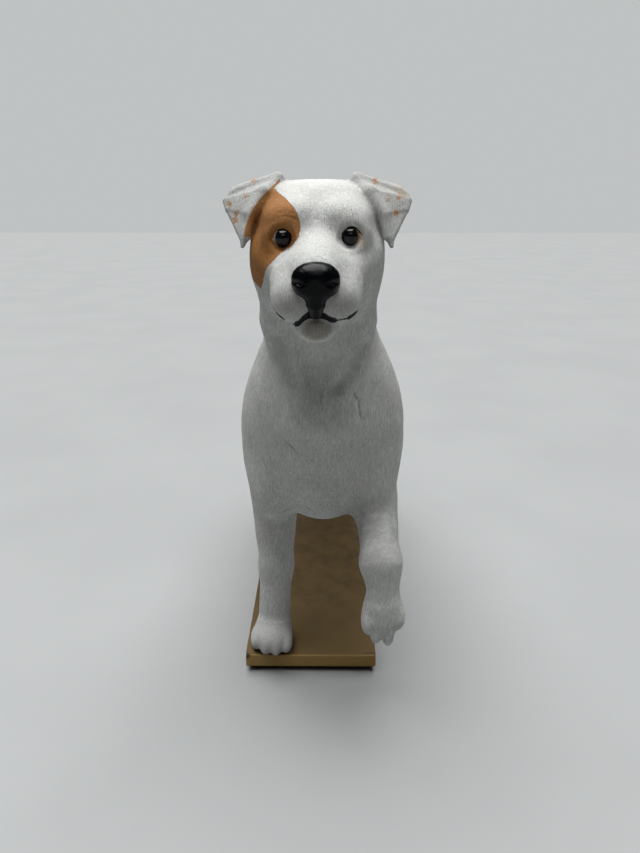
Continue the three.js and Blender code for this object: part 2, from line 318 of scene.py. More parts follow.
def ear_clay(side):
    def at(x, y, z):
        return (HEAD_X + side * x, y, z)

    root, top, turn = at(9.7, -74, 148), at(19.6, -73, 145.2), at(21.3, -73.6, 144.4)
    outer, low, end = at(22.2, -74.4, 142.9), at(21.5, -76, 140.9), at(17.6, -81.2, 134.2)
    crease, hem, tip = at(12.4, -77.6, 144.9), at(15.9, -79.4, 139.9), at(18, -82, 132.2)
    back, base, nook = at(17.6, -65.8, 140.2), at(9.6, -67, 144), at(14.6, -73, 138.6)
    front = [
        Slab(root, top, turn, 1.1),
        Slab(root, turn, outer, 1.1),
        Slab(root, outer, crease, 1.1),
        Slab(crease, outer, hem, 1.1),
        Slab(hem, outer, low, 1.05),
        Slab(hem, low, end, 0.9),
        Roll(end, 0.9, tip, 0.35),
    ]
    behind = [
        Slab(root, top, back, 1.2),
        Slab(root, back, base, 1.5),
        Slab(base, crease, nook, 1.6),
        Slab(crease, hem, nook, 1.2),
    ]
    rim = [
        (*at(9.5, -74.6, 147.8), 1.15),
        (*at(12.2, -78.1, 144.8), 1.15),
        (*at(15.7, -79.9, 139.9), 1),
        (*at(16.7, -81.6, 134.9), 0.7),
    ]
    return [Joined(front, 0.5), Joined(behind, 1.5), string(rim, 0.7)]


def toes(x, y, z, radii, offsets, soft=1.2):
    """Four toes side by side; each offset is how far one lies from (x, y, z)."""
    return [Egg(np.array((x, y, z)) + offset, radii, soft=soft) for offset in offsets]


def standing_paw(x, toe_y):
    outer = math.copysign(1, x)
    spread = [(outer * 5.3, 3.1, 0.2), (outer * 2, 0.5, 0), (-outer * 1.5, 0, 0), (-outer * 4.8, 1.5, 0)]
    return [
        Egg((x, toe_y + 9, 4.6), (6.5, 8.4, 4.8)),
        *toes(x, toe_y + 4.4, 3, (2.05, 4.4, 3.1), spread),
    ]


HANGING_PAW = [
    Egg((18, -79.8, 27), (6.2, 5.2, 7.2)),
    *toes(
        18,
        -81.4,
        20.9,
        (1.9, 3, 3.8),
        [(-4.4, 0.2, 4.2), (-1.9, 0, 1.1), (1.6, 0, 0.4), (4.7, 0.6, 5.8)],
        soft=1,
    ),
]

FRONT_RIGHT = [
    Roll((-15.6, -50, 54), 8, (-15.5, -53, 27), 5.4),
    Roll((-15.5, -53, 27), 5.3, (-16.3, -55.5, 9), 5.2, soft=3),
    Roll((-17.2, -45, 53), 5.7, (-16.6, -49, 36), 3.8, soft=4),
]

FRONT_LEFT = [
    Roll((17.2, -48, 55), 7.2, (17.2, -77, 43.4), 5.5),
    Roll((17.3, -77.6, 42.8), 5.4, (18.2, -79.4, 32), 4.7, soft=4),
    Egg((17, -45, 53), (4.6, 5, 5), soft=4),
]


def rear_leg(side):
    hock = side * 13.5
    return [
        Roll((side * 12.5, 33, 77), 11.5, (side * 14.2, 25, 60), 8.8),
        Roll((side * 14.2, 26, 60), 8.6, (hock, 56, 31), 4.4, soft=5),
        Roll((hock, 57, 31), 4.7, (hock, 54.5, 11), 4.6, soft=3),
        Egg((hock, 59.6, 32.5), (3.4, 3, 4.4), soft=3),
    ]


TAIL_LINE = [(50, 98, 5.5), (62, 91, 4.3), (74, 86, 3.2), (85, 85, 2.3), (94, 88, 1.4)]
TAIL = [
    Roll((0, y, z), radius, (0, next_y, next_z), next_radius, soft=2)
    for (y, z, radius), (next_y, next_z, next_radius) in zip(TAIL_LINE, TAIL_LINE[1:])
]

BODY_LAP = (2.2, 0.22)  # how far a piece runs on beneath the next in millimetres, and how fast it dips
LID_LAP = (0.5, 2.5)
LEGS = [f"{end}_{side}_leg" for end in ("front", "rear") for side in ("right", "left")]
EARS = ["right_ear", "left_ear"]
LIDS = [f"{side}_{place}_eyelid" for side in ("right", "left") for place in ("upper", "lower")]

# name: lumps, how softly the piece runs into what was laid before it, its lap, and its neighbours
CLAY = {
    "torso": (TORSO, 4, BODY_LAP, ["neck", "tail", *LEGS]),
    "neck": (NECK, 8, BODY_LAP, ["torso", "head", "lower_jaw"]),
    "head": (HEAD, 5, BODY_LAP, ["neck", "lower_jaw", *EARS, *LIDS]),
    "lower_jaw": (JAW, 1.2, BODY_LAP, ["head", "neck"]),
    "right_ear": (ear_clay(-1), 1.5, BODY_LAP, ["head"]),
    "left_ear": (ear_clay(1), 1.5, BODY_LAP, ["head"]),
    "front_right_leg": (FRONT_RIGHT, 4, BODY_LAP, ["torso", "front_right_paw"]),
    "front_left_leg": (FRONT_LEFT, 4, BODY_LAP, ["torso", "front_left_paw"]),
    "rear_right_leg": (rear_leg(-1), 7, BODY_LAP, ["torso", "rear_right_paw"]),
    "rear_left_leg": (rear_leg(1), 7, BODY_LAP, ["torso", "rear_left_paw"]),
    "front_right_paw": (standing_paw(FORE_X + 0.5, FORE_TOES - 1.8), 3, BODY_LAP, ["front_right_leg"]),
    "front_left_paw": (HANGING_PAW, 3, BODY_LAP, ["front_left_leg"]),
    "rear_right_paw": (standing_paw(-HIND_X, HIND_TOES), 3, BODY_LAP, ["rear_right_leg"]),
    "rear_left_paw": (standing_paw(HIND_X, HIND_TOES), 3, BODY_LAP, ["rear_left_leg"]),
    "tail": (TAIL, 4, BODY_LAP, ["torso"]),
    "right_upper_eyelid": (eyelid(-1, 1), 0.8, LID_LAP, ["head", "right_lower_eyelid"]),
    "right_lower_eyelid": (eyelid(-1, -1), 0.8, LID_LAP, ["head", "right_upper_eyelid"]),
    "left_upper_eyelid": (eyelid(1, 1), 0.8, LID_LAP, ["head", "left_lower_eyelid"]),
    "left_lower_eyelid": (eyelid(1, -1), 0.8, LID_LAP, ["head", "left_upper_eyelid"]),
}
CLAY_ORDER = list(CLAY)


def on_head(*points):
    return [(HEAD_X + x, y, z) for x, y, z in points]


GROOVES = [
    # the mouth, from corner to corner
    Stroke(on_head((-9.8, -95, 121.2), (-9, -98, 120), (-7.1, -101, 118.5), (-4.4, -103, 117.5)), 0.5, 0.5),
    Stroke(on_head((9.8, -95, 121.2), (9, -98, 120), (7.1, -101, 118.7), (4.4, -103, 118.2)), 0.5, 0.5),
    # between the upper lips
    Stroke(on_head((0, -105, 121), (0, -103.5, 119.2)), 0.7, 0.6),
    # over the muzzle pads, where they meet the cheeks
    Stroke(on_head((-9.6, -92, 127.5), (-9.8, -94, 124), (-9.6, -96, 121)), 1.1, 0.35),
    Stroke(on_head((9.6, -92, 127.5), (9.8, -94, 124), (9.6, -96, 121)), 1.1, 0.35),
    # the throat's two long hollows
    Stroke([(-12.1, -75, 109), (-10.6, -75, 103.6), (-7.9, -73, 96.8)], 1.9, 1.5, reach=4),
    Stroke([(11.2, -75, 107.3), (8.1, -75, 100.9), (4.8, -73, 95.4)], 1.9, 1.4, reach=4),
    # drying cracks and scratches in the chest and chin
    Stroke([(8.3, -74, 94.3), (9.9, -74, 91.5), (10.6, -73, 85.9)], 0.5, 0.4, reach=8),
    Stroke([(-10.2, -72, 78.8), (-7.5, -72.5, 76.3)], 0.5, 0.35, reach=8),
    Stroke([(-12.7, -65, 52.4), (-9, -66, 54)], 0.5, 0.5, reach=8),
    Stroke([(-5.4, -67, 57.4), (-2.4, -67, 55.6), (-0.1, -67, 53.1)], 0.6, 0.3, reach=8),
    Stroke(on_head((6.7, -101, 117.6), (6.4, -101, 116), (4.9, -101, 114.8)), 0.25, 0.3),
    # brow wrinkles
    Stroke(on_head((-9.5, -88, 139), (-7, -89, 139.8), (-4.8, -89, 139.2)), 0.3, 0.14),
    Stroke(on_head((-8.8, -88, 140.2), (-6.8, -89, 140.8), (-5.2, -88.5, 140.4)), 0.3, 0.12),
    # the armpits and elbows
    Stroke([(-23.5, -50, 58), (-21, -58, 56), (-16, -64, 55)], 1.3, 0.5),
    Stroke([(23.5, -50, 59), (21, -58, 57), (16, -64, 56)], 1.3, 0.5),
    Stroke([(-19, -33, 72), (-20.5, -38, 62), (-21, -42, 54)], 1.8, 0.6),
    Stroke([(19, -33, 72), (20.5, -38, 62), (21, -42, 54)], 1.8, 0.6),
    # ribs to loin, and the front of each thigh
    Stroke([(-17.5, 2, 92), (-17.5, 6, 80), (-14, 10, 70)], 3.2, 0.7),
    Stroke([(17.5, 2, 92), (17.5, 6, 80), (14, 10, 70)], 3.2, 0.7),
    Stroke([(-18, 19, 86), (-19.5, 14, 74), (-19, 15, 62)], 2.2, 0.6),
    Stroke([(18, 19, 86), (19.5, 14, 74), (19, 15, 62)], 2.2, 0.6),
]


def lump_distance(lumps, points):
    total = None
    for lump in lumps:
        here = lump.distance(points)
        if total is None:
            total = here
        elif lump.carve:
            total = soft_max(total, -here, lump.soft)
        else:
            total = soft_min(total, here, lump.soft)
    return total


def skin_of(name):
    """How far points lie outside one piece of the shared skin."""
    neighbours = CLAY[name][3]
    near = [other for other in CLAY_ORDER if other == name or other in neighbours]

    def distance(points):
        shares = {other: lump_distance(CLAY[other][0], points) for other in near}
        skin = None
        for other in near:
            soft = CLAY[other][1]
            skin = shares[other].copy() if skin is None else soft_min(skin, shares[other], soft)
        for groove in GROOVES:
            groove.press(skin, points)
        trimmed = skin
        for other in neighbours:
            lap, fall = min(CLAY[name][2], CLAY[other][2])
            past = (shares[name] - shares[other]) / 2
            dipped = skin + fall * np.maximum(past, 0) ** 2
            trimmed = np.maximum(trimmed, soft_max(dipped, past - lap, 0.6))
        return np.maximum(trimmed, -points[:, 2])

    return distance


# ---- sculpting ----
def link(obj):
    bpy.context.collection.objects.link(obj)
    return obj


def finished(name, mesh):
    mesh.name = name
    mesh.polygons.foreach_set("use_smooth", [True] * len(mesh.polygons))
    return link(bpy.data.objects.new(name, mesh))


def remesh(mesh, voxel):
    """The same shape with even quads of one size."""
    obj = link(bpy.data.objects.new("lump", mesh))
    step = obj.modifiers.new("remesh", "REMESH")
    step.mode = "VOXEL"
    step.voxel_size = voxel
    shown = obj.evaluated_get(bpy.context.evaluated_depsgraph_get())
    made = bpy.data.meshes.new_from_object(shown)
    bpy.data.objects.remove(obj)
    return made


def read(mesh, field):
    flat = np.empty(len(mesh.vertices) * 3, np.float32)
    mesh.vertices.foreach_get(field, flat)
    return flat.reshape(-1, 3)


def settle(mesh, distance, rounds, reach, relax=0.0):
    """Moves the points onto the skin, a little at a time."""
    for _ in range(rounds):
        points = read(mesh, "co")
        here = distance(points)
        step = 0.03
        slope = np.stack(
            [(distance(points + step * axis) - here) / step for axis in np.eye(3, dtype=np.float32)],
            axis=1,
        )
        steep = np.maximum((slope * slope).sum(axis=1), 0.2)
        move = -(here / steep)[:, None] * slope
        length = np.linalg.norm(move, axis=1)
        move *= np.minimum(1, reach / np.maximum(length, 1e-6))[:, None]
        mesh.vertices.foreach_set("co", (points + move).ravel())
        if relax:
            clay = bmesh.new()
            clay.from_mesh(mesh)
            bmesh.ops.smooth_vert(clay, verts=clay.verts, factor=relax)
            clay.to_mesh(mesh)
            clay.free()
    mesh.update()


FINGER_MARK = 0.16  # depth in millimetres of the slow waves that fingers leave
TOOL_MARK = 0.05  # depth of the short marks of a modelling tool
COARSE = 1.8  # how much larger the squares of the first, rough shape are


def work_by_hand(mesh, share=1.0):
    """Leaves finger and tool marks along the surface."""
    points = read(mesh, "co")
    normals = read(mesh, "normal")
    marks = np.empty(len(points), np.float32)
    for i, (x, y, z) in enumerate(points):
        slow = noise.noise(Vector((x, y, z)) * 0.16)
        short = noise.noise(Vector((x * 1.1, y * 1.1, z * 0.45)))
        marks[i] = FINGER_MARK * slow + TOOL_MARK * short
    mesh.vertices.foreach_set("co", (points + share * marks[:, None] * normals).ravel())
    mesh.update()


def sculpt(name, lumps, distance, voxel, marks=1.0):
    """Presses lumps together and works them into the shared skin."""
    clay = bmesh.new()
    for lump in lumps:
        if not lump.carve:
            lump.seed(clay)
    rough = bpy.data.meshes.new(name)
    clay.to_mesh(rough)
    clay.free()
    mesh = remesh(rough, voxel * COARSE)
    settle(mesh, distance, rounds=6, reach=1.5, relax=0.4)
    mesh = remesh(mesh, voxel)
    settle(mesh, distance, rounds=4, reach=0.8)
    work_by_hand(mesh, marks)
    mesh.transform(Matrix.Scale(MM, 4) @ Matrix.Translation(ORIGIN))
    return finished(name, mesh)


# ---- shader sums ----
class Shade:
    """A socket in a material that can be used in sums."""

    def __init__(self, tree, socket):
        self.tree = tree
        self.socket = socket

    def math(self, operation, *values):
        node = self.tree.nodes.new("ShaderNodeMath")
        node.operation = operation
        for place, value in zip(node.inputs, (self, *values)):
            feed(self.tree, place, value)
        return Shade(self.tree, node.outputs[0])

    def __add__(self, other):
        return self.math("ADD", other)

    def __sub__(self, other):
        return self.math("SUBTRACT", other)

    def __rsub__(self, other):
        return (self * -1) + other

    def __mul__(self, other):
        return self.math("MULTIPLY", other)

    def __truediv__(self, other):
        return self.math("DIVIDE", other)

    def absolute(self):
        return self.math("ABSOLUTE")

    def or_less(self, other):
        return self.math("MINIMUM", other)

    def or_more(self, other):
        return self.math("MAXIMUM", other)

    __radd__ = __add__
    __rmul__ = __mul__


def feed(tree, place, value):
    if isinstance(value, Shade):
        tree.links.new(value.socket, place)
    else:
        place.default_value = value


class Finish:
    """One material, and the nodes that make it, measured in the dog's own millimetres."""

    def __init__(self, name):
        self.material = bpy.data.materials.new(name)
        self.material.use_nodes = True
        self.tree = self.material.node_tree
        self.shader = self.tree.nodes["Principled BSDF"]
        place = self.node("ShaderNodeTexCoord", output="Object")
        scaling = {"Vector": place, "Scale": 1 / MM}
        large = self.node("ShaderNodeVectorMath", {"operation": "SCALE"}, scaling)
        shift = {0: large, 1: tuple(ORIGIN)}
        self.place = self.node("ShaderNodeVectorMath", {"operation": "SUBTRACT"}, shift)
        self.x, self.y, self.z = (
            self.node("ShaderNodeSeparateXYZ", {}, {"Vector": self.place}, axis) for axis in range(3)
        )
        self.across = self.x - float(HEAD_X)

    def node(self, kind, settings=None, inputs=None, output=0):
        node = self.tree.nodes.new(kind)
        for key, value in (settings or {}).items():
            if key == "line":
                draw_line(node.mapping, value)
            else:
                setattr(node, key, value)
        for key, value in (inputs or {}).items():
            feed(self.tree, node.inputs[key], value)
        return Shade(self.tree, node.outputs[output])

    def noise(self, scale, detail=3, roughness=0.55, stretch=(1, 1, 1), shift=(0, 0, 0)):
        """Cloudy values from 0 to 1; scale is in waves to the millimetre."""
        facts = {"Vector": self.place, "Scale": stretch, "Location": shift}
        place = self.node("ShaderNodeMapping", {}, facts)
        sizes = {"Vector": place, "Scale": scale, "Detail": detail, "Roughness": roughness}
        return self.node("ShaderNodeTexNoise", {}, sizes, "Fac")

    def ramp(self, value, low, high, start=0.0, end=1.0):
        """Runs smoothly from start to end as the value goes from low to high."""
        ends = {"Value": value, "From Min": low, "From Max": high, "To Min": start, "To Max": end}
        return self.node("ShaderNodeMapRange", {"interpolation_type": "SMOOTHSTEP"}, ends)

    def line(self, value, points):
        """Reads a smooth line drawn through points, each a value and its result."""
        (first, last), (low, high) = ((min(column), max(column)) for column in zip(*points))
        drawn = [((at - first) / (last - first), (to - low) / (high - low)) for at, to in points]
        share = (value - first) / (last - first)
        return self.node("ShaderNodeFloatCurve", {"line": drawn}, {"Value": share}) * (high - low) + low

    def mix(self, share, first, second):
        """The first colour where share is 0 and the second where it is 1."""
        node = self.tree.nodes.new("ShaderNodeMix")
        node.data_type = "RGBA"
        feed(self.tree, node.inputs["Factor"], share)
        feed(self.tree, node.inputs[6], first)
        feed(self.tree, node.inputs[7], second)
        return Shade(self.tree, node.outputs[2])

    def away(self, centre, reach=(1, 1, 1), turn=0):
        """Distance from a point on the dog; reach stretches it along x, y and z, turned about y."""
        facts = {"Vector": self.place, "Location": centre, "Scale": reach}
        facts["Rotation"] = (0, math.radians(turn), 0)
        local = self.node("ShaderNodeMapping", {"vector_type": "TEXTURE"}, facts)
        return self.node("ShaderNodeVectorMath", {"operation": "LENGTH"}, {0: local}, "Value")

    def dab(self, centre, radius, edge, reach=(1, 1, 1), turn=0):
        """1 within radius of a point on the dog, fading over edge."""
        far = self.away(centre, reach, turn)
        return self.ramp(far, radius - edge / 2, radius + edge / 2, 1.0, 0.0)

    def bump(self, height, depth):
        """A Bump node; depth is in millimetres."""
        facts = {"Height": height, "Distance": depth * MM, "Strength": 1.0}
        return self.node("ShaderNodeBump", {}, facts, "Normal")

    def set(self, **values):
        for key, value in values.items():
            feed(self.tree, self.shader.inputs[key.replace("_", " ")], value)
        return self.material


def draw_line(mapping, points):
    line = mapping.curves[0]
    for _ in points[2:]:
        line.points.new(0.5, 0.5)
    for stop, place in zip(line.points, points):
        stop.location = place
    mapping.update()


def colour(red, green, blue):
    return (red, green, blue, 1.0)


# ---- paint ----
WHITE = colour(0.475, 0.482, 0.465)
BRIGHT = colour(0.82, 0.81, 0.76)
GREY = colour(0.27, 0.275, 0.267)
WARM = colour(0.41, 0.37, 0.295)
SPECK = colour(0.09, 0.08, 0.06)
DIRT = colour(0.085, 0.075, 0.052)
BROWN = colour(0.26, 0.103, 0.021)
DARK_BROWN = colour(0.11, 0.038, 0.009)
PALE_AND_LIT_BROWN = colour(0.32, 0.170, 0.068)
BLACK = colour(0.003, 0.0035, 0.005)
JET = colour(0.0012, 0.0014, 0.002)
CHIN_GREY = colour(0.17, 0.155, 0.125)
MUZZLE_GREY = colour(0.23, 0.225, 0.205)
CLAW = colour(0.30, 0.195, 0.125)
TAN = colour(0.44, 0.33, 0.20)
RUST = colour(0.34, 0.145, 0.038)


def brushed(finish):
    """Short dry brush strokes, mostly running down."""
    strokes = finish.noise(1.0, 4, 0.65, (2.6, 2.6, 0.7))
    grit = finish.noise(5.5, 3, 0.7)
    return strokes * 0.7 + grit * 0.3


def white_paint(finish, height):
    """Off-white, a little patchy, with brush hairs and fine dark specks."""
    patchy = finish.ramp(finish.noise(0.16, 3), 0.40, 0.72)
    base = finish.mix(patchy * 0.30, WHITE, GREY)
    warm = finish.ramp(finish.noise(0.09, 2, shift=(31, 7, 3)), 0.5, 0.8)
    base = finish.mix(warm * 0.20, base, WARM)
    base = finish.mix(finish.ramp(height, 0.56, 0.34) * 0.5, base, GREY)
    hairs = finish.noise(1.2, 3, 0.6, (2.6, 1.4, 0.4), (6, 2, 1))
    base = finish.mix(finish.ramp(hairs, 0.50, 0.36) * 0.38, base, GREY)
    base = finish.mix(finish.ramp(hairs, 0.54, 0.68) * 0.30, base, BRIGHT)
    specks = finish.ramp(finish.noise(2.7, 2, 0.5, shift=(3, 11, 5)), 0.63, 0.72)
    thick = finish.ramp(finish.noise(0.14, 2, shift=(9, 2, 6)), 0.35, 0.6, 0.35, 0.8)
    return finish.mix(specks * thick, base, SPECK)


CRACKS = [
    ((9.1, -74, 92.9), 1.7, -29.7),
    ((10.25, -74, 88.7), 2.9, -7.1),
    ((-8.85, -74, 77.5), 1.9, -47.2),
    ((-10.85, -66, 53.2), 2.1, 66.6),
    ((-4.0, -66, 56.5), 1.8, -58.0),
]  # centre, half length, and how many degrees it leans; each lies along a groove of GROOVES


def body_paint(finish, height):
    """White, with dirt in the cracks, and painted shade in the hollows of the throat and on the raised
    forearm.
    """
    base = white_paint(finish, height)
    # painted shade down the two long hollows of the throat
    for x, z, lean in ((-10.2, 102.5, -20), (8.1, 101.2, 28)):
        hollow_shade = finish.dab((x, -75, z), 1, 1.4, (1.9, 9, 7.5), lean)
        base = finish.mix(hollow_shade * 0.32, base, GREY)
    # painted shade on the raised forearm, where the chest and head shade it, patchy in places
    forearm_shade = finish.dab((17.5, -68, 49), 1, 0.9, (9, 16, 9))
    patchy = finish.ramp(finish.noise(0.4, 3, shift=(2, 2, 9)), 0.35, 0.65, 0.35, 0.85)
    base = finish.mix(forearm_shade * patchy, base, GREY)
    ragged = finish.noise(2.6, 3, shift=(6, 6, 2))
    for centre, half, lean in CRACKS:
        crack = finish.dab(centre, 1, 0.9, (0.3, 9, half), lean)
        base = finish.mix(finish.ramp(crack * (ragged * 1.6), 0.35, 0.9) * 0.5, base, DIRT)
    return base


PATCH_EDGE = [
    (121.5, -14.6), (122.7, -13.8), (124.2, -13.1), (126.2, -12.4), (128.2, -11.5), (130.2, -9.8),
    (131.8, -8.0), (134.3, -4.8), (136.2, -3.8), (138.1, -3.7), (141.2, -4.9), (143.4, -7.0),
    (145.2, -9.4), (148.0, -11.5),
]  # height, then how far across the head


def patch_mask(finish):
    """The ragged brown patch round the right eye, and how far inside its inner edge a place is."""
    ragged = (finish.noise(0.9, 4, 0.7, shift=(5, 0, 9)) - 0.5) * 1.1
    inner = finish.line(finish.z, PATCH_EDGE) - finish.across + ragged
    low = finish.z - 122.7 + (finish.across + 13.8) * 0.75
    back, rise = (finish.y + 80) / 17, (finish.z - 137) / 15.5
    side = (1 - back * back - rise * rise) * 5 + ragged
    above = 145.5 - finish.z - (finish.across + 9.8) * 0.7 + ragged
    return finish.ramp(inner.or_less(low).or_less(side).or_less(above), -0.12, 0.18), inner


def brown_paint(finish, height):
    """Brown, paler higher up as painted light where the top light falls and paler at random, with darker
    streaks over the brow.
    """
    # half painted light, paler up the head where the top light falls, and half random paler tone
    light = finish.ramp(finish.z, 124, 143) * 0.5 + finish.ramp(finish.noise(0.35, 3), 0.35, 0.7) * 0.5
    base = finish.mix(light * 0.45, BROWN, PALE_AND_LIT_BROWN)
    streaks = finish.ramp(finish.noise(0.8, 4, 0.7, (0.9, 0.9, 3.4), (2, 4, 8)), 0.50, 0.70)
    brow = finish.dab((HEAD_X - 7, -88.5, 139.6), 2.6, 2.4, (1.5, 1, 0.6))
    base = finish.mix(streaks * (brow * 0.5 + 0.18), base, DARK_BROWN)
    return finish.mix(finish.ramp(height, 0.55, 0.35) * 0.25, base, DARK_BROWN)


LIP_LINE = [
    (-9.4, 121.0), (-8.6, 119.8), (-7.1, 118.6), (-5.6, 117.5), (-4.4, 117.5), (-2.6, 118.8),
    (-0.3, 119.6), (1.6, 119.3), (3.0, 118.6), (4.4, 118.3), (5.5, 118.5), (7.2, 118.9),
    (8.4, 119.5), (9.7, 120.6),
]  # across the head, then height
LIP_WEIGHT = [
    (-9.6, 0.2), (-8.6, 0.32), (-7.2, 0.18), (-6.2, 0.05), (-5.1, 0.1), (-4.4, 0.62), (-2.8, 0.72),
    (-0.3, 0.8), (2.2, 0.66), (4.2, 0.56), (4.9, 0.14), (6.5, 0.16), (7.2, 0.5), (8.9, 0.6), (9.8, 0.25),
]  # across the head, then half the painted line's height


LIP_FALL = 0.174  # how much the line drops for each millimetre it runs back


def lip_mask(finish):
    """The black line of the mouth, thick under the nose and at the left corner."""
    wobble = (finish.noise(1.6, 3, shift=(1, 5, 2)) - 0.5) * 0.5
    height = finish.z + (finish.y + 101) * LIP_FALL
    off = (height - finish.line(finish.across, LIP_LINE)).absolute() + wobble
    line = finish.line(finish.across, LIP_WEIGHT) - off
    ends = 9.6 - finish.across.absolute()
    groove = (1.5 - (finish.across + 0.1).absolute() + wobble).or_less(finish.z - 119.4)
    groove = groove.or_less(123 - finish.z)
    front = (finish.y + 84) * -0.3
    mark = line.or_less(ends).or_more(groove).or_less(front)
    return finish.ramp(mark, -0.08, 0.08)


LINER = [(6.9, 137.0), (7.8, 137.3), (8.8, 137.1), (9.6, 136.5), (10.5, 135.7)]


def liner_mask(finish):
    """The black stroke over the left eye, which runs on past its outer corner."""
    off = (finish.z - finish.line(finish.across, LINER)).absolute()
    weight = finish.ramp(finish.across, 8.8, 10.6, 0.32, 0.10)
    mark = (weight - off).or_less(finish.across - 6.9).or_less(10.5 - finish.across)
    return finish.ramp(mark.or_less((finish.y + 82) * -0.3), -0.06, 0.06)


def face_paint(finish, height):
    """White with a painted highlight on top of the head and painted shade above the inner left eye, and with
    the patch, grey muzzle and chin, lips and eye line.
    """
    across = float(HEAD_X)
    base = white_paint(finish, height)
    mottle = finish.ramp(finish.noise(2.6, 4, 0.7, shift=(7, 1, 3)), 0.35, 0.65, 0.7, 1.0)
    for side in (-1, 1):
        pads = finish.dab((across + side * 4.6, -103, 122.6), 3.7, 3.6, (1, 1.6, 1))
        base = finish.mix(pads * mottle * 0.62, base, MUZZLE_GREY)
    chin = finish.dab((across + 0.3, -103.5, 116.6), 2.9, 2.2, (1.2, 1.2, 0.85))
    base = finish.mix(chin * mottle * 0.9, base, CHIN_GREY)
    # painted shade in the dip above the inner corner of the left eye
    hollow_shade = finish.dab((across + 4.4, -88.5, 137.9), 2.1, 2.6, (0.8, 1.4, 1))
    base = finish.mix(hollow_shade * 0.45, base, GREY)
    stain = finish.dab((across + 10.2, -88, 133.9), 1.2, 1.6, (1.2, 1.5, 1))
    base = finish.mix(stain * 0.5, base, TAN)
    eye_height = EYES[1][2]
    ring = (finish.away(tuple(EYES[1] - (0, 0, 0.2)), (1, 6, 1)) - 2.6).absolute()
    under = finish.ramp(finish.z, eye_height - 0.4, eye_height - 1.2)
    rim = finish.ramp(ring, 0.55, 0.2).or_less(under)
    base = finish.mix(rim * 0.55, base, BRIGHT)
    # a painted highlight on top of the head, where the top light falls
    crown_highlight = finish.dab((across, -80, 147), 7, 6, (1.2, 1, 1))
    base = finish.mix(crown_highlight * 0.3, base, BRIGHT)
    patch, inner = patch_mask(finish)
    edge = finish.ramp(inner.absolute(), 0.45, 0.0)
    brown = finish.mix(edge * 0.5, brown_paint(finish, height), DARK_BROWN)
    base = finish.mix(patch, base, brown)
    eye_white = finish.dab((EYES[-1][0] - 2.4, -87, EYES[-1][2] - 0.3), 0.25, 0.25, (0.8, 6, 1.6))
    base = finish.mix(eye_white * 0.7, base, BRIGHT)
    base = finish.mix(lip_mask(finish).or_more(liner_mask(finish)), base, BLACK)
    crack = finish.dab((across + 6.2, -101, 116.3), 1.3, 0.5, (0.35, 2, 1.1))
    dots = finish.ramp(finish.noise(2.6, 2, shift=(0, 3, 0)), 0.52, 0.58)
    return finish.mix(crack * dots * 0.8, base, SPECK)


def make_clay(name, paint):
    finish = Finish(name)
    height = brushed(finish)
    return finish.set(
        Base_Color=paint(finish, height),
        Roughness=finish.ramp(height, 0.3, 0.7, 0.88, 0.66),
        Normal=finish.bump(height, 0.32),
        Specular_IOR_Level=0.25,
    )


def paw_paint(finish, height):
    """White, with painted shade low on the standing paws, and worn, flesh-brown claw tips."""
    base = white_paint(finish, height)
    # painted shade: greyer towards the board, under the body
    base = finish.mix(finish.ramp(finish.z, 14, 8) * 0.45, base, GREY)
    low = finish.ramp(finish.z, 3.6, 1.4)
    front = finish.ramp(finish.y, FORE_TOES + 1.8, FORE_TOES + 0.6)
    between = finish.ramp(finish.noise(0.55, 1, shift=(0.4, 0, 0)), 0.45, 0.6)
    base = finish.mix(low * front * between * 0.75, base, CLAW)
    for place in ((19.2, -83.6, 17.4), (12.9, -84, 20)):
        base = finish.mix(finish.dab(place, 1.0, 0.9) * 0.7, base, CLAW)
    return base


EAR_SPOTS = {
    -1: [
        (15.3, -73.8, 147.6),
        (17.1, -75.7, 144.0),
        (21.4, -75.9, 142.3),
        (19.5, -78.3, 140.2),
        (19.8, -79.6, 138.7),
    ],
    1: [(14.1, -74.3, 147.5), (16.9, -76.2, 143.4), (19.8, -75.2, 143.9), (19.0, -78.5, 140.3)],
}
EAR_EDGE = [
    (133.0, 17.4), (135.3, 16.6), (137.3, 16.2), (139.6, 15.2), (141.8, 14.0), (144.0, 12.2),
    (146.1, 10.3), (148.5, 8.4),
]  # height, then how far across the head the flap's inner edge lies


def make_ear(side):
    """Spotted white, greyed all over as painted shade; the right ear also has the patch's brown along its
    inner edge.
    """

    def paint(finish, height):
        # the whole ear greyed as painted shade
        base = finish.mix(0.3, white_paint(finish, height), GREY)
        ragged = finish.noise(1.7, 3, 0.7, shift=(4, 4, 0)) - 0.5
        for x, y, z in EAR_SPOTS[side]:
            far = finish.away((HEAD_X + side * x, y, z), (1, 3, 1.15))
            mark = finish.ramp(far + ragged * 3.2, 0.9, 0.3)
            base = finish.mix(mark * 0.85, base, RUST)
        if side > 0:
            stain = finish.dab((HEAD_X + 21, -75, 145.4), 1.9, 2.2, (1.2, 2, 0.8))
            return finish.mix(stain * 0.35, base, TAN)
        width = finish.ramp(finish.z, 144, 148.5, 0.85, 0.3)
        band = finish.line(finish.z, EAR_EDGE) + width + finish.across + ragged * 0.4
        above = finish.z - 134.9 + ragged
        front = ((finish.y + 71.5) * -1).or_less(-8.9 - finish.across)
        mark = band.or_less(front).or_less(above)
        return finish.mix(finish.ramp(mark, -0.1, 0.15), base, brown_paint(finish, height))

    return make_clay("spotted_ear_clay_" + ("left" if side > 0 else "right"), paint)


def make_nose():
    """Shiny black paint, very faintly pebbled."""
    finish = Finish("black_nose_clay")
    pebbles = finish.noise(1.5, 3, 0.6)
    return finish.set(
        Base_Color=finish.mix(finish.ramp(pebbles, 0.4, 0.7) * 0.4, JET, colour(0.005, 0.0055, 0.007)),
        Roughness=finish.ramp(pebbles, 0.3, 0.7, 0.11, 0.22),
        Normal=finish.bump(pebbles, 0.12),
        Specular_IOR_Level=0.1,
    )


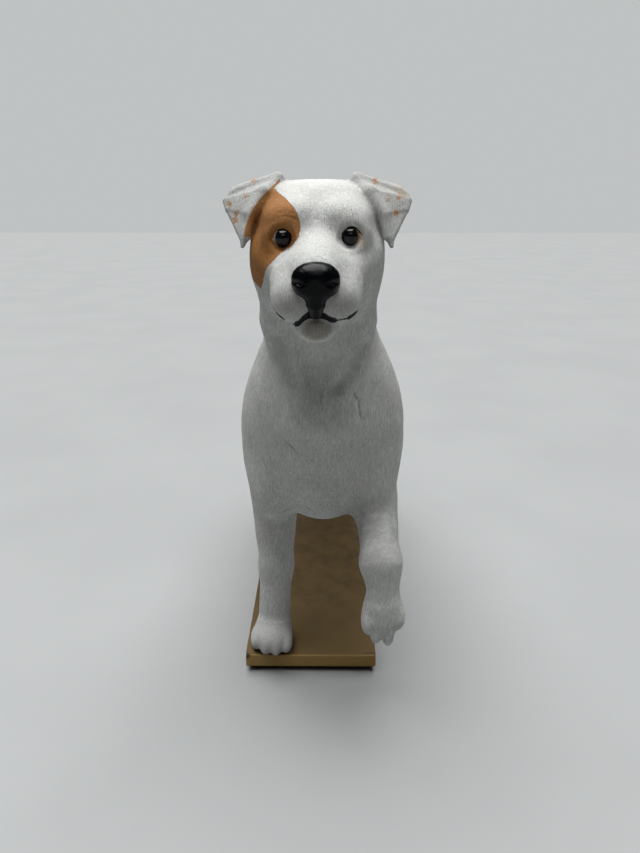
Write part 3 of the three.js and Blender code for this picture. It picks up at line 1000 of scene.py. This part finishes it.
def make_eye_gloss(side):
    """A black eye with a thin rim of colour at its outer side, under a clear gloss."""
    finish = Finish("glossy_eye_" + ("left" if side > 0 else "right"))
    centre = EYES[side] + (side * -0.15, -2.2, 0)
    dark = finish.dab(tuple(centre), 2.0, 0.2, (1, 6, 1.15))
    rim = colour(0.42, 0.20, 0.06) if side > 0 else colour(0.52, 0.46, 0.40)
    tint = finish.mix(finish.ramp(finish.noise(1.4, 2), 0.35, 0.65) * 0.4, rim, DARK_BROWN)
    return finish.set(
        Base_Color=finish.mix(dark, tint, colour(0.003, 0.003, 0.004)),
        Roughness=finish.ramp(finish.noise(0.8, 2), 0.3, 0.7, 0.06, 0.14),
        Specular_IOR_Level=0.3,
    )


CHIP = np.array((BOARD_LOW[0], BOARD_LOW[1], BOARD_HIGH[2] - 0.3)) - ORIGIN
CHIP_DEPTH = 0.3
CHIP_WIDTH = 1.1


def make_board():
    """Brown stained board: fine mottled fibres, pale specks and a darker, worn edge, with painted light on
    the top near the front and on the front face.
    """
    finish = Finish("stained_board")
    fibres = finish.noise(1.0, 5, 0.7, (1.6, 0.5, 2.6))
    cloud = finish.noise(0.12, 4, 0.6)
    base = finish.mix(finish.ramp(cloud, 0.35, 0.7), colour(0.068, 0.043, 0.015), colour(0.040, 0.025, 0.008))
    base = finish.mix(finish.ramp(fibres, 0.42, 0.68) * 0.4, base, colour(0.095, 0.060, 0.023))
    pale = finish.ramp(finish.noise(2.6, 2, shift=(8, 2, 1)), 0.68, 0.76)
    base = finish.mix(pale * 0.3, base, colour(0.22, 0.165, 0.095))
    front = float(BOARD_LOW[1])
    # painted light on the top near the front, lighter than under the dog
    base = finish.mix(finish.ramp(finish.y, front + 45, front) * 0.75, base, colour(0.125, 0.082, 0.032))
    # painted light: the front face lighter than the top
    face = finish.ramp(finish.y, front + 0.4, front + 0.1)
    base = finish.mix(face * 0.75, base, colour(0.36, 0.23, 0.078))
    chip = finish.dab(tuple(CHIP), 1.5, 1.2)
    base = finish.mix(chip * 0.85, base, colour(0.022, 0.014, 0.007))
    scratch = finish.dab((20.2 - ORIGIN[0], front + 1.2, -0.1), 1.8, 0.8, (1.6, 0.22, 0.6))
    base = finish.mix(scratch * 0.6, base, colour(0.03, 0.02, 0.01))
    return finish.set(
        Base_Color=base,
        Roughness=finish.ramp(fibres, 0.3, 0.7, 0.62, 0.86),
        Normal=finish.bump(fibres * 0.7 + finish.noise(4.0, 2) * 0.3, 0.14),
        Specular_IOR_Level=0.2,
    )


def make_felt():
    """Dark brown fuzzy cloth."""
    finish = Finish("brown_felt")
    fuzz = finish.noise(2.2, 5, 0.75)
    base = finish.mix(finish.ramp(fuzz, 0.35, 0.7), colour(0.055, 0.034, 0.011), colour(0.13, 0.089, 0.034))
    return finish.set(
        Base_Color=base,
        Roughness=finish.ramp(fuzz, 0.3, 0.7, 0.9, 1.0),
        Normal=finish.bump(fuzz, 0.5),
        Specular_IOR_Level=0.1,
    )


def make_metal(name, base, roughness, crumple, depth):
    """Bare metal, from drawn wire to crumpled foil."""
    finish = Finish(name)
    folds = finish.noise(crumple, 4, 0.6)
    dulled = colour(*(0.45 * part for part in base[:3]))
    return finish.set(
        Base_Color=finish.mix(finish.ramp(folds, 0.4, 0.7) * 0.6, base, dulled),
        Metallic=1.0,
        Roughness=finish.ramp(folds, 0.3, 0.7, roughness, roughness + 0.2),
        Normal=finish.bump(folds, depth),
    )


# ---- putting it together ----
def dress(piece, material, slot, *nodes):
    piece.data.materials.clear()
    piece.data.materials.append(material)
    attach(piece, "root")
    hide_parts(*nodes)
    return piece


SLOTS = {row["node"]: row["material_slot"] for row in frame["record"]["subparts"]}
VOXELS = {
    "torso": 0.7,
    "neck": 0.6,
    "head": 0.34,
    "lower_jaw": 0.34,
    "ear": 0.36,
    "leg": 0.55,
    "paw": 0.38,
    "tail": 0.5,
    "eyelid": 0.15,
    "nose": 0.24,
}  # size of the finished squares in millimetres, by how a piece's name ends
MARKS = {"eyelid": 0.3, "nose": 0.5}  # share of the hand marks on pieces too small for them all
white = make_clay("white_clay", body_paint)
paw_white = make_clay("paw_clay", paw_paint)
face = make_clay("painted_face_clay", face_paint)
CLAY_PAINT = {
    "head": face,
    "lower_jaw": face,
    "eyelid": face,
    "paw": paw_white,
    "right_ear": make_ear(-1),
    "left_ear": make_ear(1),
}


def kind_of(name, table):
    """The first entry whose key ends the name."""
    return next((value for key, value in table.items() if name.endswith(key)), None)


for name, (lumps, *_) in CLAY.items():
    marks = kind_of(name, MARKS) or 1.0
    piece = sculpt(name + "_clay", lumps, skin_of(name), kind_of(name, VOXELS), marks)
    dress(piece, kind_of(name, CLAY_PAINT) or white, SLOTS[name], name)


def nose_skin(points):
    return lump_distance(NOSE_CLAY, points)


nose = sculpt("nose_clay", NOSE_CLAY, nose_skin, VOXELS["nose"], MARKS["nose"])
dress(nose, make_nose(), SLOTS["nose"], "nose")


def make_eye(side, name):
    """An eyeball with a slightly raised front."""
    ball = bmesh.new()
    bmesh.ops.create_uvsphere(ball, u_segments=48, v_segments=32, radius=EYE_RADIUS)
    ahead = Vector((side * math.sin(EYE_TURN), -math.cos(EYE_TURN), 0))
    for vert in ball.verts:
        facing = max(vert.co.normalized().dot(ahead) - 0.75, 0) / 0.25
        vert.co += ahead * 0.12 * facing**2
    ball.transform(Matrix.Scale(MM, 4) @ Matrix.Translation(ORIGIN + EYES[side]))
    mesh = bpy.data.meshes.new(name)
    ball.to_mesh(mesh)
    ball.free()
    return finished(name, mesh)


for side, name in ((-1, "right_eye"), (1, "left_eye")):
    dress(make_eye(side, name + "_ball"), make_eye_gloss(side), SLOTS[name], name)


# ---- board and felt ----
def worn_block(name, low, high, eased, spacing, wear):
    """A block with eased edges, cut into a net, worn a little uneven and dented at the chip."""
    block = bmesh.new()
    place = Matrix.Translation((low + high) / 2) @ Matrix.Diagonal((*(high - low), 1))
    bmesh.ops.create_cube(block, size=1, matrix=place)
    bmesh.ops.bevel(
        block, geom=block.edges[:], offset=eased, segments=3, profile=0.5, affect="EDGES", material=-1
    )
    for axis, along in enumerate(np.eye(3)):
        first, last = low[axis] + eased + 0.25, high[axis] - eased - 0.25
        for cut in np.linspace(first, last, 2 + int((last - first) / spacing)):
            every = block.verts[:] + block.edges[:] + block.faces[:]
            bmesh.ops.bisect_plane(block, geom=every, plane_co=along * cut, plane_no=along)
    mesh = bpy.data.meshes.new(name)
    block.to_mesh(mesh)
    block.free()
    points = read(mesh, "co")
    normals = read(mesh, "normal")
    grain = Vector((0.8, 0.25, 0.8))
    marks = np.array([noise.noise(Vector(point) * grain) for point in points])
    moved = points + normals * (wear * (marks - 0.5))[:, None]
    dent = np.linalg.norm(points - CHIP - ORIGIN, axis=1)
    moved -= normals * (CHIP_DEPTH * np.exp(-((dent / CHIP_WIDTH) ** 2)))[:, None]
    mesh.vertices.foreach_set("co", moved.astype(np.float32).ravel())
    mesh.transform(Matrix.Scale(MM, 4))
    return finished(name, mesh)


board = worn_block("stained_board", BOARD_LOW, BOARD_HIGH, 0.4, 1.1, 0.07)
dress(board, make_board(), SLOTS["base_board"], "base_board")
felt = worn_block("felt_sheet", FELT_LOW, FELT_HIGH, 0.3, 0.9, 0.18)
dress(felt, make_felt(), SLOTS["felt_pad"], "felt_pad")

wire = make_metal("armature_wire", colour(0.42, 0.41, 0.39), 0.34, 3.0, 0.03)
foil = make_metal("foil_core", colour(0.78, 0.78, 0.79), 0.22, 0.5, 0.6)
for name, slot in SLOTS.items():
    if slot in ("armature_wire", "foil_core"):
        frame["nodes"][name].data.materials.clear()
        frame["nodes"][name].data.materials.append(wire if slot == "armature_wire" else foil)


# ---- floor, backdrop, light and camera ----
FLOOR = colour(0.255, 0.262, 0.263)
FLOOR_DARKER = colour(0.245, 0.252, 0.253)
CAMERA_HEIGHT = 0.150
CAMERA_AHEAD = 0.1763  # in front of the board
CAMERA_SIDE = 0.0044
CAMERA_PITCH = 19.46  # degrees below level
CAMERA_YAW = 0.42
LENS = 27.05
CEILING_SPREAD = 62  # degrees of sky that the ceiling light fills
CEILING_STRENGTH = 6.5
CEILING_LEAN = (-8, -3, 0)
SEEN_ROOM = 0.54  # how bright the room looks behind the floor
ROOM_LIGHT = 0.035  # how brightly it lights the dog


def make_floor():
    ground = bmesh.new()
    bmesh.ops.create_grid(ground, x_segments=1, y_segments=1, size=3)
    mesh = bpy.data.meshes.new("floor")
    ground.to_mesh(mesh)
    ground.free()
    floor = finished("floor", mesh)
    finish = Finish("floor_card")
    tone = finish.ramp(finish.noise(0.012, 3), 0.35, 0.65)
    mesh.materials.append(finish.set(Base_Color=finish.mix(tone, FLOOR, FLOOR_DARKER), Roughness=0.8))


def make_ceiling_light():
    ceiling = bpy.data.lights.new("ceiling_light", "SUN")
    ceiling.angle = math.radians(CEILING_SPREAD)
    ceiling.energy = CEILING_STRENGTH
    holder = link(bpy.data.objects.new("ceiling_light", ceiling))
    holder.rotation_euler = [math.radians(lean) for lean in CEILING_LEAN]


def soft_light(name, place, aim, size, power):
    """A rectangular light at a place, turned towards its aim."""
    lamp = bpy.data.lights.new(name, "AREA")
    lamp.shape = "RECTANGLE"
    lamp.size, lamp.size_y = size
    lamp.energy = power
    holder = link(bpy.data.objects.new(name, lamp))
    holder.location = place
    holder.rotation_euler = (Vector(aim) - Vector(place)).to_track_quat("-Z", "Y").to_euler()


def make_room():
    """A pale room for the camera to see, which lights the dog only faintly."""
    world = bpy.data.worlds.new("room")
    bpy.context.scene.world = world
    world.use_nodes = True
    tree = world.node_tree
    rays = tree.nodes.new("ShaderNodeLightPath")
    seen = Shade(tree, rays.outputs["Is Camera Ray"])
    room = tree.nodes["Background"]
    room.inputs["Color"].default_value = colour(0.97, 1.0, 1.0)
    feed(tree, room.inputs["Strength"], seen * (SEEN_ROOM - ROOM_LIGHT) + ROOM_LIGHT)


def make_camera():
    lens = bpy.data.cameras.new("camera")
    lens.sensor_fit = "VERTICAL"
    lens.sensor_height = 36
    lens.lens = LENS
    lens.clip_start = 0.005
    camera = link(bpy.data.objects.new("camera", lens))
    camera.location = (CAMERA_SIDE, BOARD_LOW[1] * MM - CAMERA_AHEAD, CAMERA_HEIGHT)
    camera.rotation_euler = (math.radians(90 - CAMERA_PITCH), 0, math.radians(CAMERA_YAW))
    bpy.context.scene.camera = camera


make_floor()
make_room()
make_camera()
make_ceiling_light()
soft_light("front_strip", (0.02, -0.30, 0.36), (0, -0.09, 0.13), (0.16, 0.006), 0.06)
bpy.context.scene.view_settings.view_transform = "Standard"
